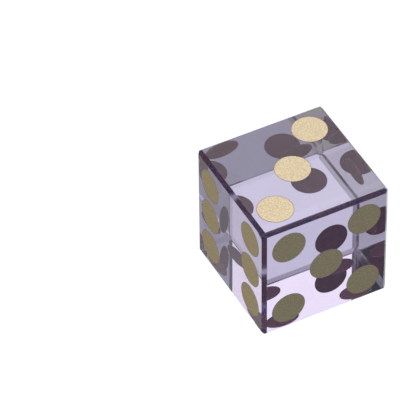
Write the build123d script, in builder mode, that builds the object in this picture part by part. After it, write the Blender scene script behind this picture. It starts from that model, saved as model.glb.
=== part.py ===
"""A precision casino die, in millimetres.

A transparent, pale violet, feather-edged cube with a flat polished bevel along
every edge. Each of the twenty-one pips is a shallow round recess filled flush
with the face: a dark ground layer on the recess floor and a gold disc on top.
The die stands on its four face. +Z is up through the three face, -Y looks out
of the five face and -X out of the six face. The origin is the centre of the
face the die stands on.
"""

import os

from build123d import *

os.makedirs("parts", exist_ok=True)

# Driving dimensions
die_side = 19.05          # three quarters of an inch, face to face
bevel_leg = 0.53          # how far the edge bevel cuts back along each face
pip_diameter = 5.0        # gold disc, the same on every face
pip_spacing = 11.4        # between the outer rows of pips, centre to centre
pip_depth = 0.08          # depth of the recess each pip sits in
ground_thickness = 0.05   # dark layer on the recess floor

# Dimensions that follow from them
half_side = die_side / 2
pip_radius = pip_diameter / 2
gold_thickness = pip_depth - ground_thickness
offset = pip_spacing / 2

# Where the pips sit on each face, in the face's own two directions. The three
# runs towards the corner it shares with the five and the six. The six has its
# two rows of three standing upright beside the three face.
LAYOUTS = {
    "one": [(0, 0)],
    "two": [(-offset, -offset), (offset, offset)],
    "three": [(-offset, -offset), (0, 0), (offset, offset)],
    "four": [(-offset, -offset), (offset, -offset), (-offset, offset), (offset, offset)],
    "five": [(-offset, -offset), (offset, -offset), (0, 0), (-offset, offset), (offset, offset)],
    "six": [
        (-offset, -offset),
        (-offset, 0),
        (-offset, offset),
        (offset, -offset),
        (offset, 0),
        (offset, offset),
    ],
}

# The outward plane of each face. Opposite faces add up to seven.
centre = Vector(0, 0, half_side)
FACES = {
    "one": Plane(centre + Vector(half_side, 0, 0), x_dir=(0, 1, 0), z_dir=(1, 0, 0)),
    "two": Plane(centre + Vector(0, half_side, 0), x_dir=(-1, 0, 0), z_dir=(0, 1, 0)),
    "three": Plane(centre + Vector(0, 0, half_side), x_dir=(1, 0, 0), z_dir=(0, 0, 1)),
    "four": Plane(centre - Vector(0, 0, half_side), x_dir=(1, 0, 0), z_dir=(0, 0, -1)),
    "five": Plane(centre - Vector(0, half_side, 0), x_dir=(1, 0, 0), z_dir=(0, -1, 0)),
    "six": Plane(centre - Vector(half_side, 0, 0), x_dir=(0, -1, 0), z_dir=(-1, 0, 0)),
}

# The transparent cube: three square bars with bevelled corners, crossed at right
# angles, so that all twelve edges are bevelled and the bevels meet in threes at a
# point. It is then drilled for the pips.
with BuildPart() as die_body:
    for bar_direction in ((0, 0, 1), (0, 1, 0), (1, 0, 0)):
        with BuildSketch(Plane(centre, z_dir=bar_direction)) as bar:
            Rectangle(die_side, die_side)
            chamfer(bar.vertices(), length=bevel_leg)
        along_z = bar_direction == (0, 0, 1)
        extrude(amount=half_side, both=True, mode=Mode.ADD if along_z else Mode.INTERSECT)
    for name, plane in FACES.items():
        with BuildSketch(plane):
            with Locations(*LAYOUTS[name]):
                Circle(pip_radius)
        extrude(amount=-pip_depth, mode=Mode.SUBTRACT)

die_body.part.label = "die_body"
export_step(die_body.part, "parts/die_body.step")

# The pips: one dark ground layer and one gold disc in every recess.
for name, plane in FACES.items():
    for number, spot in enumerate(LAYOUTS[name], start=1):
        ground_top = plane.offset(-gold_thickness)
        with BuildPart() as dark_ground:
            with BuildSketch(ground_top):
                with Locations(spot):
                    Circle(pip_radius)
            extrude(amount=-ground_thickness)
        dark_ground.part.label = f"dark_ground_{name}_{number}"
        export_step(dark_ground.part, f"parts/dark_ground_{name}_{number}.step")

        with BuildPart() as gold_disc:
            with BuildSketch(plane):
                with Locations(spot):
                    Circle(pip_radius)
            extrude(amount=-gold_thickness)
        gold_disc.part.label = f"gold_disc_{name}_{number}"
        export_step(gold_disc.part, f"parts/gold_disc_{name}_{number}.step")
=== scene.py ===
"""Casino die: clear violet cube with gold pips on dark grounds, standing on its four face."""

import math
from collections import namedtuple
from itertools import combinations, product

import bmesh
import bpy
from mathutils import Matrix, Vector


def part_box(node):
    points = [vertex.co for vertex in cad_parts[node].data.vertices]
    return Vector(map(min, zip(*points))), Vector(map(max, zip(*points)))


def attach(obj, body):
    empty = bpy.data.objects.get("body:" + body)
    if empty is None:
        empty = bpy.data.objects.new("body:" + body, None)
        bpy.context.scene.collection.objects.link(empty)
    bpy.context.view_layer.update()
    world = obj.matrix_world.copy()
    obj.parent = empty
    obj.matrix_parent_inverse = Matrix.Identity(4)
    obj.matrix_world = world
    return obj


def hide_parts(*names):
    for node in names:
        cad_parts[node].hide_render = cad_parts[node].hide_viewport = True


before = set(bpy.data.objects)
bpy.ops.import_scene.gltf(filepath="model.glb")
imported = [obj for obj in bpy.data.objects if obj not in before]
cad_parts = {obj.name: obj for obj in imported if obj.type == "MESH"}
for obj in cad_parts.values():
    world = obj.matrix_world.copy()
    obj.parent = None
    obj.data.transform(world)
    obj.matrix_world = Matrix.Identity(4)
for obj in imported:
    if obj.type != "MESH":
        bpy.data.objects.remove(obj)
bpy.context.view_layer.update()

# ---------------------------------------------------------------- sizes, in metres
LOW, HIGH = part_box("die_body")
SIDE = HIGH.x - LOW.x
CENTRE = (LOW + HIGH) / 2
COUNTS = {"one": 1, "two": 2, "three": 3, "four": 4, "five": 5, "six": 6}

BEVEL = 0.00053            # leg of the edge bevel along each face
SOFTEN = 0.00004           # polish that rounds the edges of the bevels
RIM = 0.00001              # broken edge round the mouth of each recess
GRIP = 0.000008            # how far the pips reach into the body, so that no air is left between
SHY = 0.000004             # how far the gold sits under the face
GOLD_EDGE = 0.000006       # broken edge of the gold
CUP = 0.00004              # wall of the dark ground round the gold
LIP = 0.000004             # how far that wall stops under the face
GROUND_EDGE = 0.00002      # broken edge of the dark ground at its foot
AROUND = 96                # steps round a pip
SAME_POINT = 1e-8          # hull points closer than this are one
SAME_PLANE = 0.002         # hull triangles within this angle, in radians, are one face
SAME_WAY = 0.999           # cosine over which two directions count as one

# ---------------------------------------------------------------- looks
IOR = 1.55
BEVEL_SATIN = 0.15         # roughness that the sanded bevels have over the polished faces


# ---------------------------------------------------------------- helpers for meshes
def new_object(name, bm):
    bmesh.ops.recalc_face_normals(bm, faces=bm.faces)
    mesh = bpy.data.meshes.new(name)
    bm.to_mesh(mesh)
    bm.free()
    piece = bpy.data.objects.new(name, mesh)
    bpy.context.scene.collection.objects.link(piece)
    return piece


def along(axis, sign=1.0):
    """Unit vector along one axis, x, y or z being 0, 1 or 2."""
    return Vector([sign if k == axis else 0.0 for k in range(3)])


def ring(bm, centre, first, second, radius, steps=AROUND):
    angles = (2 * math.pi * i / steps for i in range(steps))
    return [bm.verts.new(centre + radius * (math.cos(a) * first + math.sin(a) * second)) for a in angles]


def bridge(bm, one, two):
    n = len(one)
    for i in range(n):
        bm.faces.new((one[i], one[(i + 1) % n], two[(i + 1) % n], two[i]))


def fan(bm, tip, loop):
    for i in range(len(loop)):
        bm.faces.new((tip, loop[i], loop[(i + 1) % len(loop)]))


# ---------------------------------------------------------------- where the pips are
# top is the pip's middle on the face plane, first and second are two directions in the face,
# gold and depth are the thickness of the gold and of the whole pip
Pip = namedtuple("Pip", "face number top normal first second radius gold depth")


def place_pip(face, number):
    gold_low, gold_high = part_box(f"gold_disc_{face}_{number}")
    dark_low, dark_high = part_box(f"dark_ground_{face}_{number}")
    middle, size = (gold_low + gold_high) / 2, gold_high - gold_low
    axis = min(range(3), key=lambda i: size[i])
    sign = 1.0 if middle[axis] > CENTRE[axis] else -1.0
    normal, first = along(axis, sign), along((axis + 1) % 3)
    top = middle.copy()
    top[axis] = CENTRE[axis] + sign * SIDE / 2
    gold = size[axis]
    depth = gold + (dark_high - dark_low)[axis]
    return Pip(face, number, top, normal, first, normal.cross(first), max(size) / 2, gold, depth)


PIPS = [place_pip(face, number) for face, count in COUNTS.items() for number in range(1, count + 1)]


# ---------------------------------------------------------------- the clear body
def plane_distance(normal):
    """From the middle of the die to the face or bevel with this outward normal."""
    is_face = max(abs(part) for part in normal) > SAME_WAY
    return SIDE / 2 if is_face else (SIDE - BEVEL) / math.sqrt(2)


def outward(signs, *axes):
    """Outward normal of the face (one axis) or the bevel (two axes) beside the corner with these signs."""
    return Vector([signs[k] if k in axes else 0 for k in range(3)]).normalized()


def corner_planes():
    """For every corner point of the bevelled cube, the normals of the three planes that meet there."""
    trios = []
    for signs in product((1, -1), repeat=3):
        for i in range(3):
            j, k = (i + 1) % 3, (i + 2) % 3
            trios.append((outward(signs, i), outward(signs, i, j), outward(signs, i, k)))
        trios.append((outward(signs, 1, 2), outward(signs, 0, 2), outward(signs, 0, 1)))
    return trios


def body_shell():
    """The bevelled cube with softened edges, as the hull of a few points round every corner point."""
    bm = bmesh.new()
    for trio in corner_planes():
        rows = Matrix([list(normal) for normal in trio])
        corner = rows.inverted() @ Vector([plane_distance(normal) - SOFTEN for normal in trio])
        between = [(one + two).normalized() for one, two in combinations(trio, 2)]
        for direction in [*trio, *between]:
            bm.verts.new(CENTRE + corner + direction * SOFTEN)
    bmesh.ops.remove_doubles(bm, verts=bm.verts, dist=SAME_POINT)
    bmesh.ops.convex_hull(bm, input=bm.verts)
    loose = [v for v in bm.verts if not v.link_faces]
    bmesh.ops.delete(bm, geom=loose, context="VERTS")
    bmesh.ops.dissolve_limit(bm, angle_limit=SAME_PLANE, verts=bm.verts, edges=bm.edges)
    return bm


def cut_recess(bm, pip):
    """Walls and bottom of one recess. Returns the edges of its mouth."""
    mouth = ring(bm, pip.top, pip.first, pip.second, pip.radius + RIM)
    throat = ring(bm, pip.top - pip.normal * RIM, pip.first, pip.second, pip.radius)
    foot = ring(bm, pip.top - pip.normal * pip.depth, pip.first, pip.second, pip.radius)
    edges = [bm.edges.new((mouth[k], mouth[(k + 1) % AROUND])) for k in range(AROUND)]
    bridge(bm, mouth, throat)
    bridge(bm, throat, foot)
    bm.faces.new(foot)
    return edges


def build_body():
    """The shell, with each of its six faces made anew round the recesses."""
    bm = body_shell()
    for axis, sign in product(range(3), (1.0, -1.0)):
        normal = along(axis, sign)
        facing_out = [f for f in bm.faces if f.normal.dot(normal) > SAME_WAY]
        flat = max(facing_out, key=lambda f: f.calc_area())
        edges = list(flat.edges)
        bm.faces.remove(flat)
        for pip in PIPS:
            if pip.normal.dot(normal) > SAME_WAY:
                edges += cut_recess(bm, pip)
        bmesh.ops.triangle_fill(bm, use_beauty=True, use_dissolve=False, edges=edges, normal=normal)
    return new_object("clear_violet_body", bm)


# ---------------------------------------------------------------- the pips
def lathe(name, pip, profile):
    """A closed round piece from (radius, height over the face plane) points, centre to centre."""
    bm = bmesh.new()
    rings = []
    for radius, height in profile:
        centre = pip.top + pip.normal * height
        rings.append(ring(bm, centre, pip.first, pip.second, radius) if radius else [bm.verts.new(centre)])
    for one, two in zip(rings, rings[1:]):
        if len(one) == 1:
            fan(bm, one[0], two)
        elif len(two) == 1:
            fan(bm, two[0], one)
        else:
            bridge(bm, one, two)
    return new_object(name, bm)


def build_gold(pip):
    reach = pip.radius - CUP
    front = [(0, -SHY), (pip.radius * 0.35, -SHY), (pip.radius * 0.7, -SHY), (reach - GOLD_EDGE, -SHY)]
    back = [(reach, -SHY - GOLD_EDGE), (reach, -pip.gold), (0, -pip.gold)]
    return lathe(f"gold_pip_{pip.face}_{pip.number}", pip, front + back)


def build_dark(pip):
    inner, outer, bottom = pip.radius - CUP, pip.radius + GRIP, -pip.depth - GRIP
    cup = [(0, -pip.gold), (inner, -pip.gold), (inner, -LIP), (outer, -LIP)]
    foot = [(outer, -pip.depth + GROUND_EDGE), (outer - GROUND_EDGE, bottom)]
    back = [(pip.radius * 0.5, bottom), (0, bottom)]
    return lathe(f"dark_pip_ground_{pip.face}_{pip.number}", pip, cup + foot + back)


# ---------------------------------------------------------------- helpers for materials
MIX_FIRST, MIX_SECOND, MIX_RESULT = 6, 7, 2     # colour sockets of the Mix node


class Nodes:
    """Short way to write a node tree."""

    def __init__(self, tree):
        self.tree = tree
        tree.nodes.clear()

    def add(self, kind, inputs=None, **settings):
        node = self.tree.nodes.new(kind)
        for key, value in settings.items():
            setattr(node, key, value)
        for key, value in (inputs or {}).items():
            if isinstance(value, bpy.types.NodeSocket):
                self.tree.links.new(value, node.inputs[key])
            else:
                node.inputs[key].default_value = value
        return node

    def math(self, operation, *values):
        return self.add("ShaderNodeMath", dict(enumerate(values)), operation=operation).outputs["Value"]

    def vector(self, operation, *values, result="Vector"):
        node = self.add("ShaderNodeVectorMath", dict(enumerate(values)), operation=operation)
        return node.outputs[result]

    def noise(self, **inputs):
        place = self.add("ShaderNodeTexCoord").outputs["Object"]
        return self.add("ShaderNodeTexNoise", {"Vector": place, **inputs}).outputs["Fac"]

    def rescale(self, value, low, high, to_low=0.0, to_high=1.0):
        """Moves low..high to to_low..to_high, and stops at both ends."""
        limits = {"From Min": low, "From Max": high, "To Min": to_low, "To Max": to_high}
        return self.add("ShaderNodeMapRange", {"Value": value, **limits}).outputs["Result"]

    def ramp(self, factor, *stops):
        node = self.add("ShaderNodeValToRGB", {"Fac": factor})
        while len(node.color_ramp.elements) < len(stops):
            node.color_ramp.elements.new(0.5)
        for element, (position, colour) in zip(node.color_ramp.elements, stops):
            element.position = position
            element.color = (*colour, 1.0)
        return node.outputs["Color"]

    def mix(self, factor, first, second):
        inputs = {"Factor": factor, MIX_FIRST: first, MIX_SECOND: second}
        return self.add("ShaderNodeMix", inputs, data_type="RGBA").outputs[MIX_RESULT]


def new_material(name):
    made = bpy.data.materials.new(name)
    made.use_nodes = True
    return made, Nodes(made.node_tree)


# ---------------------------------------------------------------- materials
def clear_violet():
    """Polished plastic with faint handling marks, coloured through its depth, satin on the bevels."""
    made, n = new_material("clear_violet_plastic")
    marks = n.rescale(n.noise(Scale=900.0, Detail=4.0, Roughness=0.6), 0.45, 0.8, to_high=0.03)
    # the largest part of the normal is 1 on a face and 0.71 on a bevel
    normal = n.add("ShaderNodeNewGeometry").outputs["True Normal"]
    parts = n.add("ShaderNodeSeparateXYZ", {"Vector": n.vector("ABSOLUTE", normal)}).outputs
    largest = n.math("MAXIMUM", n.math("MAXIMUM", parts["X"], parts["Y"]), parts["Z"])
    satin = n.rescale(largest, 0.99, 0.95, to_high=BEVEL_SATIN)
    plastic = n.add("ShaderNodeBsdfPrincipled", {
        "Base Color": (0.97, 0.965, 0.985, 1.0),
        "Roughness": n.math("ADD", marks, satin),
        "IOR": IOR,
        "Transmission Weight": 1.0})
    tint = n.add("ShaderNodeVolumeAbsorption", {"Color": (0.36, 0.185, 0.73, 1.0), "Density": 25.0})
    n.add("ShaderNodeOutputMaterial", {
        "Surface": plastic.outputs["BSDF"],
        "Volume": tint.outputs["Volume"]})
    return made


def gold_flake():
    made, n = new_material("gold_flake")
    place = n.add("ShaderNodeTexCoord").outputs["Object"]
    flake = n.add("ShaderNodeTexVoronoi", {"Vector": place, "Scale": 9000.0, "Randomness": 1.0})
    cloud = n.noise(Scale=6000.0, Detail=3.0, Roughness=0.7)
    dull, plain, pale = (0.43, 0.345, 0.22), (0.58, 0.485, 0.345), (0.75, 0.655, 0.50)
    colour = n.ramp(cloud, (0.30, dull), (0.5, plain), (0.70, pale))
    bump = n.add("ShaderNodeBump", {"Height": cloud, "Strength": 0.2, "Distance": 0.00003})
    gold = n.add("ShaderNodeBsdfPrincipled", {
        "Base Color": colour,
        "Metallic": 1.0,
        "Specular Tint": (0.6, 0.55, 0.4, 1.0),
        "Roughness": n.rescale(flake.outputs["Distance"], 0.0, 1.0, 0.18, 0.30),
        "Normal": bump.outputs["Normal"]})
    n.add("ShaderNodeOutputMaterial", {"Surface": gold.outputs["BSDF"]})
    return made


def dark_ground():
    made, n = new_material("dark_ground_lacquer")
    cloud = n.noise(Scale=1500.0, Detail=4.0, Roughness=0.6)
    colour = n.ramp(cloud, (0.3, (0.275, 0.132, 0.19)), (0.7, (0.36, 0.174, 0.245)))
    coat = n.add("ShaderNodeBsdfPrincipled", {
        "Base Color": colour,
        "Roughness": 0.6,
        "Specular IOR Level": 0.2})
    n.add("ShaderNodeOutputMaterial", {"Surface": coat.outputs["BSDF"]})
    return made


def pale_floor():
    made, n = new_material("pale_floor")
    light = n.add("ShaderNodeEmission", {"Color": (1.0, 1.0, 1.0, 1.0), "Strength": 1.05})
    n.add("ShaderNodeOutputMaterial", {"Surface": light.outputs["Emission"]})
    return made


# ---------------------------------------------------------------- the die
body = build_body()
body.data.materials.append(clear_violet())
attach(body, "root")
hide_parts("die_body")

gold_material, dark_material = gold_flake(), dark_ground()
for pip in PIPS:
    gold = build_gold(pip)
    gold.data.materials.append(gold_material)
    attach(gold, "root")
    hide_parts(f"gold_disc_{pip.face}_{pip.number}")
    dark = build_dark(pip)
    dark.data.materials.append(dark_material)
    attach(dark, "root")
    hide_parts(f"dark_ground_{pip.face}_{pip.number}")


# ---------------------------------------------------------------- floor
FLOOR_RADIUS = 20.0
FLOOR_STEPS = 64
FLOOR_GAP = 0.00002        # so that the floor and the die's bottom face don't coincide


def build_floor():
    """A white disc that only the camera sees: the light tent stands in for it inside the die."""
    bm = bmesh.new()
    bm.faces.new(ring(bm, Vector((0, 0, 0)), along(0), along(1), FLOOR_RADIUS, FLOOR_STEPS))
    disc = new_object("pale_floor", bm)
    disc.location.z = LOW.z - FLOOR_GAP
    disc.data.materials.append(pale_floor())
    disc.visible_transmission = False
    disc.visible_glossy = False
    disc.visible_diffuse = False
    disc.visible_shadow = False
    disc.visible_volume_scatter = False
    return disc


floor = build_floor()

# ---------------------------------------------------------------- camera
STANCE = Vector((-9.4904, -17.2263, 19.3027)) * SIDE     # from the middle of the die
TURN, TILT, ROLL = math.radians(26.95), math.radians(-44.17), math.radians(-0.848)
SENSOR, LENS = 36.0, 349.3                               # in millimetres
NEAR, FAR = 0.01, 50.0                                   # clipping distances, in metres
AHEAD = Vector((math.sin(TURN), math.cos(TURN), 0.0))


def build_camera():
    forward = Vector((math.sin(TURN) * math.cos(TILT), math.cos(TURN) * math.cos(TILT), math.sin(TILT)))
    level = Vector((math.cos(TURN), -math.sin(TURN), 0.0))
    upright = level.cross(forward)
    right = level * math.cos(ROLL) + upright * math.sin(ROLL)
    up = upright * math.cos(ROLL) - level * math.sin(ROLL)
    data = bpy.data.cameras.new("camera")
    data.sensor_width = SENSOR
    data.lens = LENS
    data.clip_start = NEAR
    data.clip_end = FAR
    camera = bpy.data.objects.new("camera", data)
    bpy.context.scene.collection.objects.link(camera)
    turned = Matrix([right, up, -forward]).transposed().to_4x4()
    camera.matrix_world = Matrix.Translation(CENTRE + STANCE) @ turned
    return camera


bpy.context.scene.camera = build_camera()


# ---------------------------------------------------------------- light tent
def grey(value):
    return (value, value, value)


def steep_below(n, facing, height):
    """Light from below, from behind the camera round to ahead, and an even patch straight below.

    The main camera's sight lines leave the die at 0, 0.206, 0.794 and 1. Two dark green bands lie beside
    0.206 and a grey one beside 0.794, and it is mostly the rough gold of the pips that gathers their light.
    """
    behind, ahead = (0.30, 0.31, 0.26), (0.84, 0.86, 0.86)
    near_sight, far_sight = (0.331, 0.341, 0.363), (0.56, 0.57, 0.57)
    dark_band, grey_band = (0.15, 0.21, 0.11), (0.38, 0.40, 0.37)
    blue_side, grey_side = (0.355, 0.365, 0.41), grey(0.56)
    around = n.ramp(
        facing, (0.0, behind), (0.10, behind),
        (0.15, dark_band), (0.188, near_sight), (0.224, near_sight), (0.262, dark_band),
        (0.33, blue_side), (0.62, grey_side), (0.70, grey_side),
        (0.745, grey_band), (0.777, far_sight), (0.812, far_sight), (0.92, ahead), (1.0, ahead))
    straight_below = (0.72, 0.73, 0.73, 1.0)
    return n.mix(n.rescale(height, -0.85, -0.97), around, straight_below)


def steep_above(n, facing, height):
    """Light from above, from behind the camera round to ahead, and an even bright patch overhead."""
    behind, blue_side, ahead = (0.37, 0.37, 0.28), (0.41, 0.41, 0.48), (1.36, 1.34, 1.25)
    dark_side, dark_sight = (0.03, 0.04, 0.045), (0.015, 0.025, 0.03)
    around = n.ramp(
        facing, (0.0, behind), (0.25, blue_side), (0.45, dark_side), (0.80, dark_sight),
        (0.88, ahead), (1.0, ahead))
    overhead = n.ramp(height, (0.0, grey(0)), (0.80, grey(0)), (0.88, grey(1)), (1.0, grey(1)))
    straight_above = (1.5, 1.5, 1.45, 1.0)
    return n.mix(overhead, around, straight_above)


def near_level(n, height):
    """The same all round: white at the horizon, grey above and below it, with a dim seam in each grey."""
    # height and brightness
    bands = [(-0.39, 0.60), (-0.36, 0.12), (-0.30, 0.12), (-0.27, 0.60), (-0.14, 0.60), (-0.04, 1.0),
             (0.04, 1.0), (0.14, 0.42), (0.27, 0.42), (0.30, 0.08), (0.36, 0.08), (0.39, 0.42)]
    stops = [((z + 1) / 2, grey(brightness)) for z, brightness in bands]
    return n.ramp(n.rescale(height, -1.0, 1.0), *stops)


def light_tent():
    """All the light that the die reflects and refracts. It stands still in the world.

    height is the sine of the angle over level: -1 straight below, 0.5 at 30 degrees, 0.6 at 37 degrees.
    facing is 1 ahead of the main camera, 0.794 at 54 degrees from it, 0.206 at 126 degrees and 0 behind it.
    """
    world = bpy.data.worlds.new("light_tent")
    bpy.context.scene.world = world
    world.use_nodes = True
    n = Nodes(world.node_tree)
    direction = n.add("ShaderNodeTexCoord").outputs["Generated"]
    height = n.add("ShaderNodeSeparateXYZ", {"Vector": direction}).outputs["Z"]
    level = n.vector("NORMALIZE", n.vector("MULTIPLY", direction, (1.0, 1.0, 0.0)))
    facing = n.rescale(n.vector("DOT_PRODUCT", level, tuple(AHEAD), result="Value"), -1.0, 1.0)
    upper_half = n.rescale(height, -0.01, 0.01)
    steep_light = n.mix(upper_half, steep_below(n, facing, height), steep_above(n, facing, height))
    steep = n.rescale(n.math("ABSOLUTE", height), 0.50, 0.60)
    colour = n.mix(steep, near_level(n, height), steep_light)
    light = n.add("ShaderNodeBackground", {"Color": colour, "Strength": 1.0})
    n.add("ShaderNodeOutputWorld", {"Surface": light.outputs["Background"]})


light_tent()
scene = bpy.context.scene
scene.view_settings.view_transform = "Standard"
scene.cycles.max_bounces = 32
scene.cycles.transmission_bounces = 32
scene.cycles.glossy_bounces = 16
scene.cycles.sampling_pattern = "TABULATED_SOBOL"
